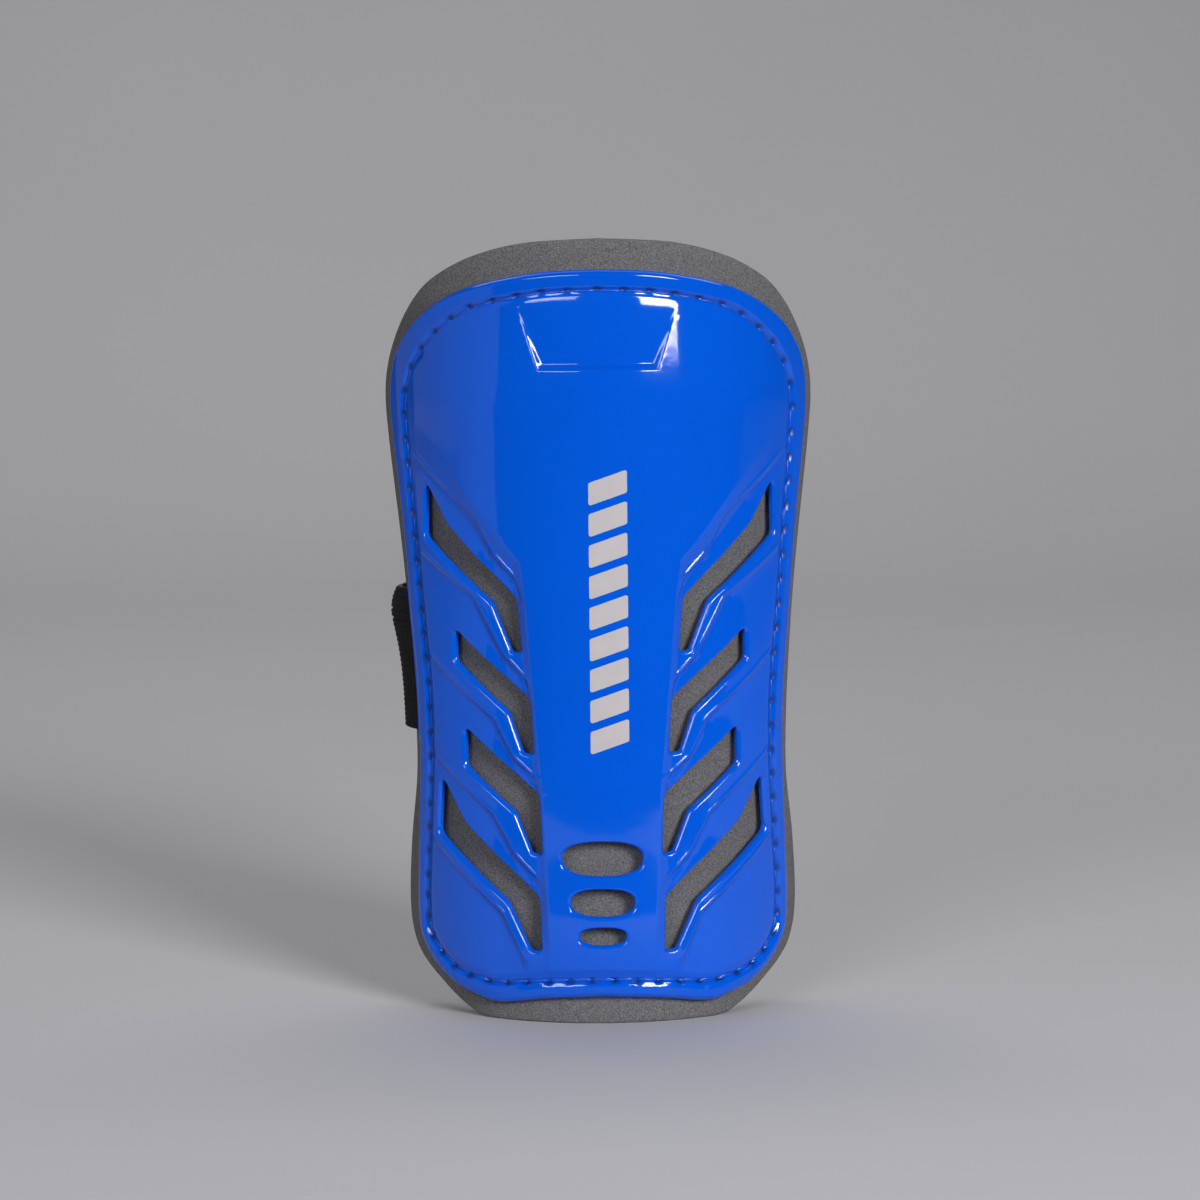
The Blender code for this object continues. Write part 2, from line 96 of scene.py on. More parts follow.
def splineThrough(points, steps=16):
    ends = [points[0]] + points + [points[-1]]
    curve = []
    for before, start, end, after in zip(ends, ends[1:], ends[2:], ends[3:]):
        for step in range(steps):
            t = step / steps
            weights = (-0.5 * t + t * t - 0.5 * t ** 3, 1 - 2.5 * t * t + 1.5 * t ** 3,
                       0.5 * t + 2 * t * t - 1.5 * t ** 3, -0.5 * t * t + 0.5 * t ** 3)
            row = (before, start, end, after)
            curve.append([sum(w * p[axis] for w, p in zip(weights, row)) for axis in (0, 1)])
    return np.array(curve + [list(points[-1])])


def bothSides(half):
    mirror = half[::-1] * [-1, 1]
    return np.vstack([half, mirror[mirror[:, 0] < -1e-6]])


def reachAlong(line):
    return np.concatenate([[0], np.cumsum(np.hypot(*np.diff(line, axis=0).T))])


def pointsAt(marks, line, reach):
    return np.column_stack([np.interp(marks, reach, line[:, axis]) for axis in (0, 1)])


def spreadAlong(line, spacing, closed=False):
    points = np.vstack([line, line[:1]]) if closed else np.array(line)
    reach = reachAlong(points)
    count = max(2, round(reach[-1] / spacing))
    marks = np.linspace(0, reach[-1], count + 1)
    return pointsAt(marks[:-1] if closed else marks, points, reach)


def folded(points):
    # Both sides are alike, so points of the left side are looked up on the right
    return np.column_stack([np.abs(points[:, 0]), points[:, 1]])


def treeOf(points):
    tree = KDTree(len(points))
    for index, (x, y) in enumerate(points):
        tree.insert((x, y, 0), index)
    tree.balance()
    return tree


class LineField:
    # Distance to a line, from the two stretches on either side of its nearest point
    def __init__(self, lines, closed=True, spacing=0.8):
        self.points, self.ahead, self.behind = [], [], []
        for line in lines:
            dense = spreadAlong(line, spacing, closed=closed)
            first, count = len(self.points), len(dense)
            self.points += [tuple(p) for p in dense]
            last = count - 1
            for i in range(count):
                self.ahead.append(first + ((i + 1) % count if closed else min(i + 1, last)))
                self.behind.append(first + ((i - 1) % count if closed else max(i - 1, 0)))
        self.points = np.array(self.points)
        self.ahead, self.behind = np.array(self.ahead), np.array(self.behind)
        self.ways = self.points[self.ahead] - self.points[self.behind]
        self.tree = treeOf(self.points)

    def near(self, points):
        # Distance, side of the line (1 on its left and -1 on its right), and the line's way there
        find = self.tree.find
        index = np.array([find((x, y, 0))[1] for x, y in points.tolist()])
        here = self.points[index]
        best = np.full(len(points), 1e9)
        course = np.zeros_like(here)
        side = np.ones(len(points))
        for start, end in ((self.behind[index], index), (index, self.ahead[index])):
            a, b = self.points[start], self.points[end]
            way = b - a
            length = np.maximum((way * way).sum(axis=1), 1e-12)
            t = np.clip(((points - a) * way).sum(axis=1) / length, 0, 1)[:, None]
            gap = np.hypot(*(points - a - t * way).T)
            closer = gap < best - 1e-9
            turn = way[:, 0] * (points - a)[:, 1] - way[:, 1] * (points - a)[:, 0]
            best[closer] = gap[closer]
            course[closer] = (self.ways[start] * (1 - t) + self.ways[end] * t)[closer]
            side[closer] = np.where(turn[closer] >= 0, 1, -1)
        return best, side, course


def insideLoop(points, loop):
    x, y = points[:, 0], points[:, 1]
    hit = np.zeros(len(points), bool)
    for (ax, ay), (bx, by) in zip(loop, np.roll(loop, -1, axis=0)):
        if ay != by:
            crosses = ((ay > y) != (by > y)) & (x < ax + (bx - ax) * (y - ay) / (by - ay))
            hit ^= crosses
    return hit


def gapTo(points, line):
    best = np.full(len(points), 1e9)
    for a, b in zip(line, line[1:]):
        way = b - a
        length = way @ way
        if length > 0:
            t = np.clip((points - a) @ way / length, 0, 1)
            foot = a + t[:, None] * way
            best = np.minimum(best, np.hypot(*(points - foot).T))
    return best


def signedDistance(points, loop):
    gap = gapTo(points, np.vstack([loop, loop[:1]]))
    return np.where(insideLoop(points, loop), gap, -gap)


def offsetLoop(loop, move):
    ahead = np.roll(loop, -1, axis=0) - np.roll(loop, 1, axis=0)
    ahead /= np.hypot(*ahead.T)[:, None]
    return loop + np.column_stack([ahead[:, 1], -ahead[:, 0]]) * np.reshape(move, (-1, 1))


def turnedCorners(corners, steps=7):
    loop = []
    for index, (x, y, size) in enumerate(corners):
        here = Vector((x, y))
        back = Vector(corners[index - 1][:2]) - here
        ahead = Vector(corners[(index + 1) % len(corners)][:2]) - here
        reach = min(size / math.tan(back.angle(ahead) / 2), 0.45 * back.length, 0.45 * ahead.length)
        start, end = here + back.normalized() * reach, here + ahead.normalized() * reach
        for step in range(steps):
            t = step / (steps - 1)
            loop.append(tuple(start * (1 - t) ** 2 + here * (2 * t * (1 - t)) + end * t * t))
    return np.array(loop)


def leftTurning(loop):
    after = np.roll(loop, -1, axis=0)
    return loop if np.sum(loop[:, 0] * after[:, 1] - after[:, 0] * loop[:, 1]) > 0 else loop[::-1]


def onShell(across, up):
    return (across * shellHalfArc, guardForm["bottomMargin"] + up * shellHeight)


def onPad(across, up):
    return (across * guardForm["padHalfArc"], up * guardForm["height"])


# The moulded shell's drawing, as shares of its half arc and height
shellDrawing = {
    "outline": [
        (0.000, 1.000), (0.241, 0.996), (0.512, 0.979), (0.688, 0.957), (0.826, 0.929),
        (0.913, 0.901), (0.968, 0.873), (1.000, 0.823), (0.981, 0.762), (0.925, 0.653),
        (0.886, 0.543), (0.848, 0.432), (0.840, 0.344), (0.857, 0.243), (0.879, 0.150),
        (0.875, 0.093), (0.840, 0.067), (0.768, 0.042), (0.657, 0.019), (0.548, 0.007),
        (0.437, 0.000), (0.222, 0.009), (0.000, 0.013)],
    "column": [
        (0.807, 0.799), (0.625, 0.738), (0.464, 0.676), (0.299, 0.608), (0.270, 0.500),
        (0.246, 0.392), (0.227, 0.310), (0.217, 0.236), (0.206, 0.144), (0.196, 0.059)],
    "shingles": [
        [(0.922, 0.776), (0.500, 0.668), (0.423, 0.617), (0.322, 0.581)],
        [(0.922, 0.646), (0.510, 0.558), (0.381, 0.480), (0.284, 0.445)],
        [(0.922, 0.522), (0.420, 0.390), (0.343, 0.339), (0.257, 0.313)],
        [(0.922, 0.391), (0.432, 0.260), (0.340, 0.205), (0.252, 0.174)],
        [(0.922, 0.268), (0.394, 0.124), (0.310, 0.063)]],
    "emboss": [(0.333, 0.990), (0.302, 0.940), (0.227, 0.866)],
    "vents": [   # corners from the outer tip down and round, each with its round in mm
        [(0.764, 0.716, 1.1), (0.764, 0.636, 2.4), (0.437, 0.552, 4.0),
         (0.350, 0.484, 1.2), (0.305, 0.483, 1.2), (0.329, 0.558, 4.0), (0.637, 0.653, 4.8)],
        [(0.612, 0.513, 0.9), (0.611, 0.468, 2.0), (0.369, 0.402, 4.0),
         (0.308, 0.346, 1.2), (0.261, 0.345, 1.2), (0.275, 0.420, 4.0)],
        [(0.571, 0.379, 0.9), (0.568, 0.325, 2.0), (0.346, 0.265, 4.0),
         (0.275, 0.209, 1.2), (0.230, 0.208, 1.2), (0.240, 0.289, 4.0)],
        [(0.699, 0.310, 1.2), (0.716, 0.227, 3.2), (0.382, 0.142, 4.0),
         (0.285, 0.076, 1.2), (0.238, 0.075, 1.2), (0.247, 0.150, 4.0), (0.573, 0.245, 4.8)]],
    "ovals": [(0.203, 0.154, 0.0239), (0.143, 0.121, 0.0191), (0.097, 0.089, 0.0124)],
    "ovalSquareness": 2.5,
}

# Rises and widths of the relief, in mm. A pair that is read by between is a size and what it changes
# to, and a pair whose name ends in From is where such a change starts and its span.
shellRelief = {
    "flange": 3.45, "lipRound": 1.4, "lipDrop": 0.9,
    "bead": 0.2, "beadPlace": 0.5, "beadWidth": 0.15, "beadFrom": (48, -14),
    "crease": 2.6, "creaseOut": 1.3, "creaseBlend": 0.14,
    "creaseIn": (2.5, 2.0, 2.0, 1.3), "creaseHeights": (15, 30, 145, 160),
    "panel": 5.0, "panelEdge": (3.4, 2.75), "highFrom": (105, 30),
    "dome": (16.0, 21.5), "domePower": (2, 1.3),
    "trapezoid": 3.3, "trapezoidWall": 1.1, "trapezoidEnd": 2.2, "trapezoidDrop": 0.6,
    "trapezoidBlend": 0.45,
    "shingleLow": (2.8, 3.3), "shingleHigh": (4.15, 3.75),
    "sideFrom": (14, 22), "shingleStep": 1.0, "shingleEnd": 6.5, "shingleRest": 0.45,
    "endRound": 1.2, "endSoft": 3.0, "ridge": 0.16, "ridgeUp": 0.35, "ridgeWidth": 0.36,
    "grooveEnd": 0.24, "grooveDown": 0.4, "grooveWidth": 0.45,
    "columnStep": (2.4, 5.5), "columnFrom": (108, 12), "blend": 0.6,
    "ventRound": (0.35, 0.9), "ventLowWay": (0.62, 0.78), "ventDrop": 0.8,
    "rimThickness": 0.9, "undercut": (2.0, 0.9),
    "pocket": (69.5, 104.5), "pocketDepth": 2.5, "pocketRise": 2.2, "pocketFace": 3.15,
    "pocketSpare": 1.0, "pocketFade": 2.5, "pocketIn": 3.6,
    "stitchPitch": 6.0, "bottomPitch": 5.1, "bottomBelow": 30,
    "holeDip": 0.42, "holeWidth": (0.95, 0.5), "holeOut": 0.4, "dipReach": 2.5,
    "sideDip": 0.3, "fullDip": (92, 62, 14), "seat": 0.2,
}

# How far the sewn line lies inside the shell's edge, at heights up the guard
seamInsets = [
    (-5, 5.4), (9, 5.2), (12, 4.4), (20, 4.3), (31, 4.6), (87, 4.8), (122, 4.9), (134, 5.6),
    (145, 6.3), (152, 6.8), (159, 7.2), (165, 6.7), (169, 6.0), (173, 5.2), (176, 5.0), (195, 5.1)]

shellLoop = bothSides(splineThrough([onShell(*mark) for mark in shellDrawing["outline"]]))
columnLine = np.array([onShell(*mark) for mark in shellDrawing["column"]])
embossLine = np.array([onShell(*mark) for mark in shellDrawing["emboss"]])
embossLoop = np.vstack([embossLine, (embossLine * [-1, 1])[::-1]])
panelLine = np.vstack([[2 * shellHalfArc, columnLine[0][1] + shellHalfArc], columnLine,
                       [columnLine[-1][0], -guardForm["height"]]])


def softened(line, size=5.0, steps=7):
    inner = turnedCorners([(x, y, size) for x, y in line], steps)
    return np.vstack([line[:1], inner[steps:-steps], line[-1:]])


shingleLines = [softened(np.array([onShell(*mark) for mark in row]))
                for row in shellDrawing["shingles"]]
ventLoops = [leftTurning(turnedCorners([(*onShell(x, y), size) for x, y, size in vent]))
             for vent in shellDrawing["vents"]]


def ovalLoop(up, halfWidth, halfHeight, steps=72):
    angle = np.linspace(0, 2 * np.pi, steps, endpoint=False)
    power = 2 / shellDrawing["ovalSquareness"]
    x = np.sign(np.cos(angle)) * np.abs(np.cos(angle)) ** power * halfWidth * shellHalfArc
    y = np.sign(np.sin(angle)) * np.abs(np.sin(angle)) ** power * halfHeight * shellHeight
    return np.column_stack([x, y + guardForm["bottomMargin"] + up * shellHeight])


ovalLoops = [ovalLoop(*oval) for oval in shellDrawing["ovals"]]
holeLoops = ventLoops + [(loop * [-1, 1])[::-1] for loop in ventLoops] + ovalLoops
seamTable = splineThrough([list(row) for row in seamInsets])


def seamInset(up):
    return np.interp(up, seamTable[:, 0], seamTable[:, 1])


outlineField = LineField([shellLoop])
outlineSide = -1 if outlineField.near(np.array([[0.0, 95.0]]))[1][0] < 0 else 1
shingleField = LineField(shingleLines, closed=False)
holeField = LineField(ventLoops + ovalLoops, spacing=0.4)


def edgeDistance(points):
    gap, side, _ = outlineField.near(points)
    return gap * side * outlineSide


seamLoop = spreadAlong(shellLoop, 1.0, closed=True)
seamLoop = offsetLoop(seamLoop, seamInset(seamLoop[:, 1]))
for _ in range(3):   # an offset line's inset is set by its own height, so it is settled in steps
    seamLoop = offsetLoop(seamLoop, seamInset(seamLoop[:, 1]) - edgeDistance(seamLoop))


def stitchHoles():
    line = np.vstack([seamLoop, seamLoop[:1]])
    reach = reachAlong(line)
    marks, place = [], 0.0
    while place < reach[-1] - 2.5:
        marks.append(place)
        up = np.interp(place, reach, line[:, 1])
        place += shellRelief["bottomPitch" if up < shellRelief["bottomBelow"] else "stitchPitch"]
    return pointsAt(marks, line, reach)


needleHoles = stitchHoles()


def lower(a, b, blend):
    # The lower of two surfaces, rounded where they meet
    share = np.clip(0.5 + 0.5 * (b - a) / blend, 0, 1)
    return b + (a - b) * share - blend * share * (1 - share)


def holeDistance(points):
    # Positive outside the holes
    gap, turn, _ = holeField.near(folded(points))
    return gap * -turn


def sideRise(arc, up):
    # Each shingle rises toward its lower edge, ends in a fine ridge and steps down there
    form = shellRelief
    step = form["shingleStep"]
    outward = over(arc, *form["sideFrom"])
    low, high = between(form["shingleLow"], outward), between(form["shingleHigh"], outward)
    rise, ridge = high.copy(), np.zeros(len(arc))
    edges, slopes, ends = [], [], []
    for line in shingleLines:
        order = line[::-1]
        ends.append(order[0][0])
        edges.append(np.interp(arc, order[:, 0], order[:, 1]))
        ahead = np.interp(arc + 0.3, order[:, 0], order[:, 1])
        behind = np.interp(arc - 0.3, order[:, 0], order[:, 1])
        slopes.append((ahead - behind) / 0.6)
    for index, (edge, slope, end) in enumerate(zip(edges, slopes, ends)):
        flank = np.sqrt(1 + slope * slope)
        below = (edge - up) / flank
        whole = over(arc, end, form["shingleEnd"])   # a shingle fades out toward the column
        ramp = low
        if index + 1 < len(edges):
            room = np.maximum(edge - edges[index + 1], 1.0) / flank
            ramp = low + (high - low) * over(below, step, np.maximum(room - step, 0.5))
        drop = (ramp - high) * (form["shingleRest"] + (1 - form["shingleRest"]) * whole)
        reached = smoothStep((arc - end) / form["endRound"] + 0.5)
        width = step + form["endSoft"] * (1 - reached)
        rise = np.where(below > 0, high + drop * smoothStep(below / width), rise)
        onRidge = (below + form["ridgeUp"]) / form["ridgeWidth"]
        inGroove = (below - form["grooveDown"]) / form["grooveWidth"]
        ridge += form["ridge"] * reached * np.exp(-onRidge ** 2)
        ridge -= form["grooveEnd"] * reached * (1 - whole) * np.exp(-inGroove ** 2)
    return rise + ridge


def sinkTrapezoid(points, panel, past):
    # A flat floor below the domed panel, with walls of one slope that end where the panel meets it
    form = shellRelief
    gap = gapTo(points, np.vstack([embossLine, [0.0, embossLine[-1][1]]]))
    gap = np.where(insideLoop(points, embossLoop), gap, -gap)
    end = np.clip(1 - past / form["trapezoidEnd"], 0, 1)
    floor = form["trapezoid"] - form["trapezoidDrop"] * end ** 2
    wall = panel - form["trapezoidWall"] * gap
    return lower(panel, -lower(-floor, -wall, form["trapezoidBlend"]), form["trapezoidBlend"])


def panelRise(points, past):
    form = shellRelief
    high = over(points[:, 1], *form["highFrom"])
    dome = 1 - np.clip(past / between(form["dome"], high), 0, 1)
    drop = form["panel"] - between(form["panelEdge"], high)
    panel = form["panel"] - drop * dome ** between(form["domePower"], high)
    return sinkTrapezoid(points, panel, past)


def flangeRise(edge, inset, up):
    form = shellRelief
    lipGap = np.maximum(form["lipRound"] - edge, 0)
    lip = form["flange"] - form["lipDrop"] * lipGap ** 2 / form["lipRound"]
    beadGap = (edge / inset - form["beadPlace"]) / form["beadWidth"]
    lip += form["bead"] * over(up, *form["beadFrom"]) * np.exp(-beadGap ** 2)
    return form["crease"] + (lip - form["crease"]) * smoothStep((inset - edge) / form["creaseOut"])


def roundVents(points, rise):
    # The face turns down at each hole, in a wider round at the hole's lower side
    form = shellRelief
    gap, turn, course = holeField.near(points)
    across, down = form["ventLowWay"]
    facing = (across * course[:, 1] + down * course[:, 0]) / np.hypot(*course.T)
    size = between(form["ventRound"], smoothStep(0.5 + 0.5 * facing))
    return rise - form["ventDrop"] * np.maximum(size + gap * turn, 0) ** 2 / size


def overStrap(flat, edge, rise):
    # The flange is lifted where the strap leaves from under it
    form = shellRelief
    low, high = form["pocket"]
    middle, half = (low + high) / 2, (high - low) / 2 + form["pocketSpare"]
    away = np.abs(flat[:, 1] - middle)
    window = smoothStep((half + form["pocketFade"] - away) / form["pocketFade"])
    window = window * over(edge, form["pocketIn"], -1.0) * (flat[:, 0] < 0)
    return np.where(rise < form["pocketFace"], rise + (form["pocketFace"] - rise) * window, rise)


def seamDip(flat, past):
    # Each stitch pulls the plastic down at its needle holes, most at the guard's top and bottom
    form = shellRelief
    dip = np.zeros(len(flat))
    near = np.abs(past) < form["dipReach"]
    if near.any():
        middle, reach, span = form["fullDip"]
        ends = np.clip(np.abs(flat[near, 1] - middle) - reach, 0, span) / span
        depth = form["sideDip"] + (1 - form["sideDip"]) * ends
        dip[near] = form["holeDip"] * depth * pucker(flat[near])
    return dip


def relief(flat):
    # The rise of the shell's face at points of the flat drawing
    form = shellRelief
    points = folded(flat)
    arc, up = points.T
    edge, inset = edgeDistance(points), seamInset(up)
    past = edge - inset
    panel = panelRise(points, past)
    halfPanel = np.interp(up, panelLine[::-1, 1], panelLine[::-1, 0])
    columnStep = between(form["columnStep"], over(up, *form["columnFrom"]))
    share = np.where(arc < halfPanel, 1.0, 1 - smoothStep(gapTo(points, panelLine) / columnStep))
    side = lower(sideRise(arc, up), panel, form["blend"])
    rise = roundVents(points, side + (panel - side) * share)
    wide = np.interp(up, form["creaseHeights"], form["creaseIn"])
    climb = np.clip(lower(past / wide, 1.0, form["creaseBlend"]), 0, 1)
    rise = form["crease"] + (rise - form["crease"]) * climb
    rise = np.where(past <= 0, flangeRise(edge, inset, up), rise)
    return overStrap(flat, edge, rise) - seamDip(flat, past)


dimples = offsetLoop(needleHoles, -shellRelief["holeOut"])
dimpleWays = np.roll(needleHoles, -1, axis=0) - np.roll(needleHoles, 1, axis=0)
dimpleWays /= np.hypot(*dimpleWays.T)[:, None]


def pucker(points):
    # 1 at each needle hole, fading along and across the seam
    long, wide = shellRelief["holeWidth"]
    share = np.zeros(len(points))
    for hole, way in zip(dimples, dimpleWays):
        along, across = (points - hole) @ way, (points - hole) @ np.array([-way[1], way[0]])
        share = np.maximum(share, np.exp(-(along / long) ** 2 - (across / wide) ** 2))
    return share


def cutFlat(loops, holes, loose):
    # The flat drawing in triangles, cut along its loops and without its holes
    points, edges = [], []
    for loop in loops + holes:
        first = len(points)
        points += [tuple(p) for p in loop]
        edges += [(first + i, first + (i + 1) % len(loop)) for i in range(len(loop))]
    points += [tuple(p) for p in loose]
    result = delaunay_2d_cdt([Vector(p) for p in points], edges, [], 1, 1e-5)
    verts = np.array([tuple(v) for v in result[0]])
    faces = np.array([tuple(face) for face in result[2]])
    centres = verts[faces].mean(axis=1)
    keep = insideLoop(centres, loops[0])
    for hole in holes:
        keep &= ~insideLoop(centres, hole)
    faces = faces[keep]
    used, faces = np.unique(faces, return_inverse=True)
    return verts[used], faces.reshape(-1, 3)


def newMesh(name, verts, faces):
    mesh = bpy.data.meshes.new(name)
    mesh.from_pydata([tuple(v) for v in verts], [], [tuple(int(i) for i in f) for f in faces])
    mesh.shade_smooth()
    piece = bpy.data.objects.new(name, mesh)
    scene.collection.objects.link(piece)
    return piece


def openEdges(faces):
    edges = {(int(f[i]), int(f[(i + 1) % 3])) for f in faces for i in range(3)}
    return [edge for edge in sorted(edges) if edge[::-1] not in edges]


def latticePoints(loop, step, bounds):
    across = np.arange(-bounds, bounds + step, step)
    rows = np.arange(0, guardForm["height"] + step, step * 0.87)
    grid = [np.column_stack([across + (row % 2) * step / 2, np.full(len(across), up)])
            for row, up in enumerate(rows)]
    points = np.vstack(grid)
    return points[insideLoop(points, loop)]


# The shell's face: rows of points follow its edges, the seam and the vents, and a lattice between
# them is finest where the relief bends most.
shellMesh = {
    "edgeStep": 1.0, "ventStep": 0.7, "coarse": 1.7, "fine": 0.55, "bend": 0.02,
    "edgeRows": (0.2, 0.45, 0.75, 1.05, 1.4),
    "seamRows": (-1.5, -1.1, -0.8, -0.5, -0.25, 0.0, 0.25, 0.5, 0.8, 1.1, 1.5, 1.9),
    "ventRows": (0.12, 0.25, 0.4, 0.6, 0.8, 1.0, 1.25),
    "shingleRows": (-1.0, -0.75, -0.5, -0.3, -0.1, 0.15, 0.4, 0.65, 0.9, 1.2), "shingleClear": 1.15,
    "holeRings": ((0.3, 6), (0.65, 8)), "fineSpare": 0.3, "coarseSpare": 0.8, "cell": 1.1,
    "seamClear": 2.2, "holeClear": 1.5,
}


def clearOfRows(points, spare):
    # Points that are well away from the rows that follow the edge, the seam and the holes
    form = shellMesh
    edge = edgeDistance(points)
    past = edge - seamInset(points[:, 1])
    seam = (past < form["seamRows"][0] - spare) | (past > form["seamRows"][-1] + spare)
    clear = (edge > form["edgeRows"][-1] + spare) & seam
    clear &= holeDistance(points) > form["ventRows"][-1] + spare
    return clear & (shingleField.near(folded(points))[0] > form["shingleClear"] + spare)


def shellLattice():
    form = shellMesh
    fine = latticePoints(shellLoop, form["fine"], shellHalfArc)
    fine = fine[clearOfRows(fine, form["fineSpare"])]
    here = relief(fine)
    reach = form["fine"]
    slant = reach * 0.7
    bend = np.zeros(len(fine))
    for way in ((reach, 0), (0, reach), (slant, slant), (slant, -slant)):
        bend = np.maximum(bend, np.abs(relief(fine + way) + relief(fine - way) - 2 * here))
    detailed = fine[bend > form["bend"]]
    coarse = latticePoints(shellLoop, form["coarse"], shellHalfArc)
    coarse = coarse[clearOfRows(coarse, form["coarseSpare"])]
    cells = set(map(tuple, detailed // form["cell"]))
    spare = [i for i, cell in enumerate(coarse // form["cell"]) if tuple(cell) not in cells]
    return np.vstack([detailed, coarse[spare]])


def shellRows():
    form = shellMesh
    edge = spreadAlong(shellLoop, form["edgeStep"], closed=True)
    rows = [offsetLoop(edge, gap) for gap in form["edgeRows"]]
    inset = seamInset(edge[:, 1])
    rows += [offsetLoop(edge, inset + gap) for gap in form["seamRows"]]
    holes = [spreadAlong(loop, form["ventStep"], closed=True) for loop in holeLoops]
    for hole in holes:
        for gap in form["ventRows"]:
            row = offsetLoop(hole, gap)
            rows.append(row[holeDistance(row) > 0.8 * gap])
    for line in shingleLines:
        line = spreadAlong(line, 0.8)
        for gap in form["shingleRows"]:
            row = offsetLoop(line, gap)[1:-1]
            inside = edgeDistance(row) > seamInset(row[:, 1]) + form["seamClear"]
            inside &= holeDistance(row) > form["holeClear"]
            inside &= shingleField.near(row)[0] > abs(gap) - 0.05
            rows += [row[inside], row[inside] * [-1, 1]]
    rings = []
    for hole in needleHoles:
        for radius, count in form["holeRings"]:
            angle = np.linspace(0, 2 * np.pi, count, endpoint=False)
            rings.append(hole + radius * np.column_stack([np.cos(angle), np.sin(angle)]))
    return edge, holes, np.vstack(rows + rings + [needleHoles])


def faceNormals(flat):
    reach = 0.06
    def at(points):
        return roll(points, relief(points))
    across = at(flat + (reach, 0)) - at(flat - (reach, 0))
    upward = at(flat + (0, reach)) - at(flat - (0, reach))
    normal = np.cross(across, upward)
    return normal / np.linalg.norm(normal, axis=1)[:, None]


def pocketLoop(grown):
    low, high = shellRelief["pocket"]
    heights = np.linspace(low - 0.3 - grown, high + 0.3 + grown, 13)
    edge = np.interp(heights, *halfWidths(shellLoop))
    inner = np.column_stack([shellRelief["pocketDepth"] + grown - edge, heights])
    outer = np.column_stack([-edge - 1.0, heights])[::-1]
    return np.vstack([inner, outer])


def halfWidths(loop):
    side = loop[loop[:, 0] > 0]
    side = side[(side[:, 1] > 20) & (side[:, 1] < 160)]
    side = side[np.argsort(side[:, 1])]
    return side[:, 1], side[:, 0]


def makeShell():
    # The moulding is thin round each hole: below its rim the hole widens toward the pad
    edge, holes, rows = shellRows()
    flat, faces = cutFlat([edge], holes, np.vstack([rows, shellLattice()]))
    front = roll(flat, relief(flat))
    normals = faceNormals(flat)
    rim = openEdges(faces)
    rimPoints = sorted({i for pair in rim for i in pair})
    atVent, atOval = shellRelief["undercut"]
    grow = [atVent] * (2 * len(ventLoops)) + [atOval] * len(ovalLoops)
    wide = [offsetLoop(hole, size) for hole, size in zip(holes, grow)]
    filling = latticePoints(shellLoop, 6.0, shellHalfArc)
    backFlat, backFaces = cutFlat([edge, pocketLoop(0.0)], wide, filling)
    holeTree, backTree = treeOf(np.vstack(holes)), treeOf(backFlat)
    below, lip = {}, {}
    for i in rimPoints:
        _, near, gap = holeTree.find((*flat[i], 0))
        spot = np.vstack(wide)[near] if gap < 1e-3 else flat[i]
        below[i] = len(front) + backTree.find((*spot, 0))[1]
        if gap < 1e-3:
            lip[i] = len(lip)
    lipFlat = flat[list(lip)]
    seat = np.full(len(backFlat), shellRelief["seat"])
    seat[insideLoop(backFlat, pocketLoop(0.1))] = shellRelief["pocketRise"]
    lipEdge = roll(lipFlat, relief(lipFlat) - shellRelief["rimThickness"])
    verts = np.vstack([front, roll(backFlat, seat), lipEdge])
    count = len(front)
    allFaces = [tuple(f) for f in faces] + [tuple(count + i for i in f[::-1]) for f in backFaces]
    sharp = set(rim)
    for a, b in rim:
        behind = (below[a], below[b])
        sharp.add(behind)
        if a in lip:
            first, second = (count + len(backFlat) + lip[i] for i in (a, b))
            allFaces += [(b, a, first, second), (second, first, behind[0], behind[1])]
            sharp.add((first, second))
        else:
            allFaces.append((b, a, behind[0], behind[1]))
    shell = newMesh("shellMoulding", verts, allFaces)
    mesh = shell.data
    for item in mesh.edges:
        pair = tuple(item.vertices)
        item.use_edge_sharp = pair in sharp or pair[::-1] in sharp
    loopNormals = np.zeros((len(mesh.loops), 3))
    frontLoops = len(faces) * 3
    index = np.array([loop.vertex_index for loop in mesh.loops])[:frontLoops]
    loopNormals[:frontLoops] = normals[index]
    mesh.normals_split_custom_set([tuple(n) for n in loopNormals])
    # The same share also darkens the plastic's colour in the material: painted shade at the needle holes
    puckered = mesh.attributes.new("pucker", "FLOAT", "POINT")
    share = np.concatenate([pucker(flat), np.zeros(len(verts) - count)])
    puckered.data.foreach_set("value", share.astype(np.float32))
    return shell


# The foam pad
padDrawing = {
    "outline": [
        (0.000, 1.000), (0.260, 0.995), (0.464, 0.979), (0.623, 0.956), (0.728, 0.933),
        (0.844, 0.894), (0.958, 0.841), (1.000, 0.795), (0.975, 0.736), (0.905, 0.633),
        (0.854, 0.537), (0.822, 0.432), (0.812, 0.358), (0.823, 0.295), (0.888, 0.211),
        (0.926, 0.128), (0.863, 0.078), (0.664, 0.036), (0.556, 0.015), (0.482, 0.003)],
    "foot": 0.423, "edgeStep": 1.6, "fill": 3.2, "spare": 0.6, "softEdge": 0.7, "segments": 3,
}


def addModifier(piece, kind, **settings):
    modifier = piece.modifiers.new(kind.title(), kind)
    for key, value in settings.items():
        setattr(modifier, key, value)
    bpy.ops.object.select_all(action="DESELECT")
    bpy.context.view_layer.objects.active = piece
    piece.select_set(True)
    bpy.ops.object.modifier_apply(modifier=modifier.name)


